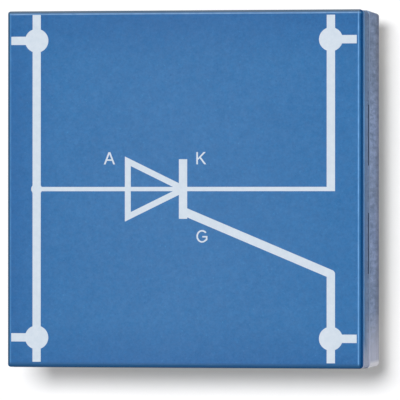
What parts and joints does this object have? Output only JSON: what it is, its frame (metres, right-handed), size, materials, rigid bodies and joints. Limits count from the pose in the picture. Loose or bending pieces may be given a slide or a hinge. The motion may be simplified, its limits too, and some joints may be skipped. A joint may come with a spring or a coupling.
{
  "type": "thyristor plug-in module",
  "caption": "Square plug-in module with a printed thyristor symbol on a blue clip-on lid, a clear base holding the thyristor on a board, and sprung plugs underneath.",
  "frame": {"origin": "centre of the plane that the four plug tips stand on, below the middle of the housing", "axes": "+Z is the outward normal of the printed face, +X runs from the anode side to the cathode and gate side, +Y towards the cathode plug's end"},
  "size_m": [0.0604, 0.0604, 0.041],
  "materials": {
    "blue_plastic": "satin moulded plastic with a fine grain",
    "white_print": "pale screen-printed ink",
    "clear_plastic": "clear moulded plastic with a grey-violet cast",
    "board_laminate": "bare glass-fibre laminate",
    "copper": "bare copper foil",
    "plated_brass": "nickel-plated turned brass",
    "spring_bronze": "bright rolled bronze strip",
    "zinc_plated_steel": "zinc plated",
    "black_epoxy": "matte moulded epoxy",
    "tinned_copper": "tinned copper",
    "silicon": "polished silicon",
    "aluminium_wire": "drawn wire",
    "solder": "bright solder"
  },
  "bodies": {
    "root": {"lid": "blue_plastic", "printed_symbol": "white_print", "base": "clear_plastic", "circuit_board": "board_laminate", "anode_track": "copper", "cathode_track": "copper", "gate_track": "copper", "plug_pin_upper_left": "plated_brass", "plug_pin_upper_right": "plated_brass", "plug_pin_lower_left": "plated_brass", "plug_pin_lower_right": "plated_brass", "contact_spring_upper_left": "spring_bronze", "contact_spring_upper_right": "spring_bronze", "contact_spring_lower_left": "spring_bronze", "contact_spring_lower_right": "spring_bronze", "washers": "zinc_plated_steel", "hex_nuts": "zinc_plated_steel", "tab_screw": "zinc_plated_steel", "thyristor_case": "black_epoxy", "anode_tab": "tinned_copper", "cathode_lead": "tinned_copper", "gate_lead": "tinned_copper", "thyristor_chip": "silicon", "cathode_wire": "aluminium_wire", "gate_wire": "aluminium_wire", "solder_joints": "solder"}
  },
  "joints": []
}
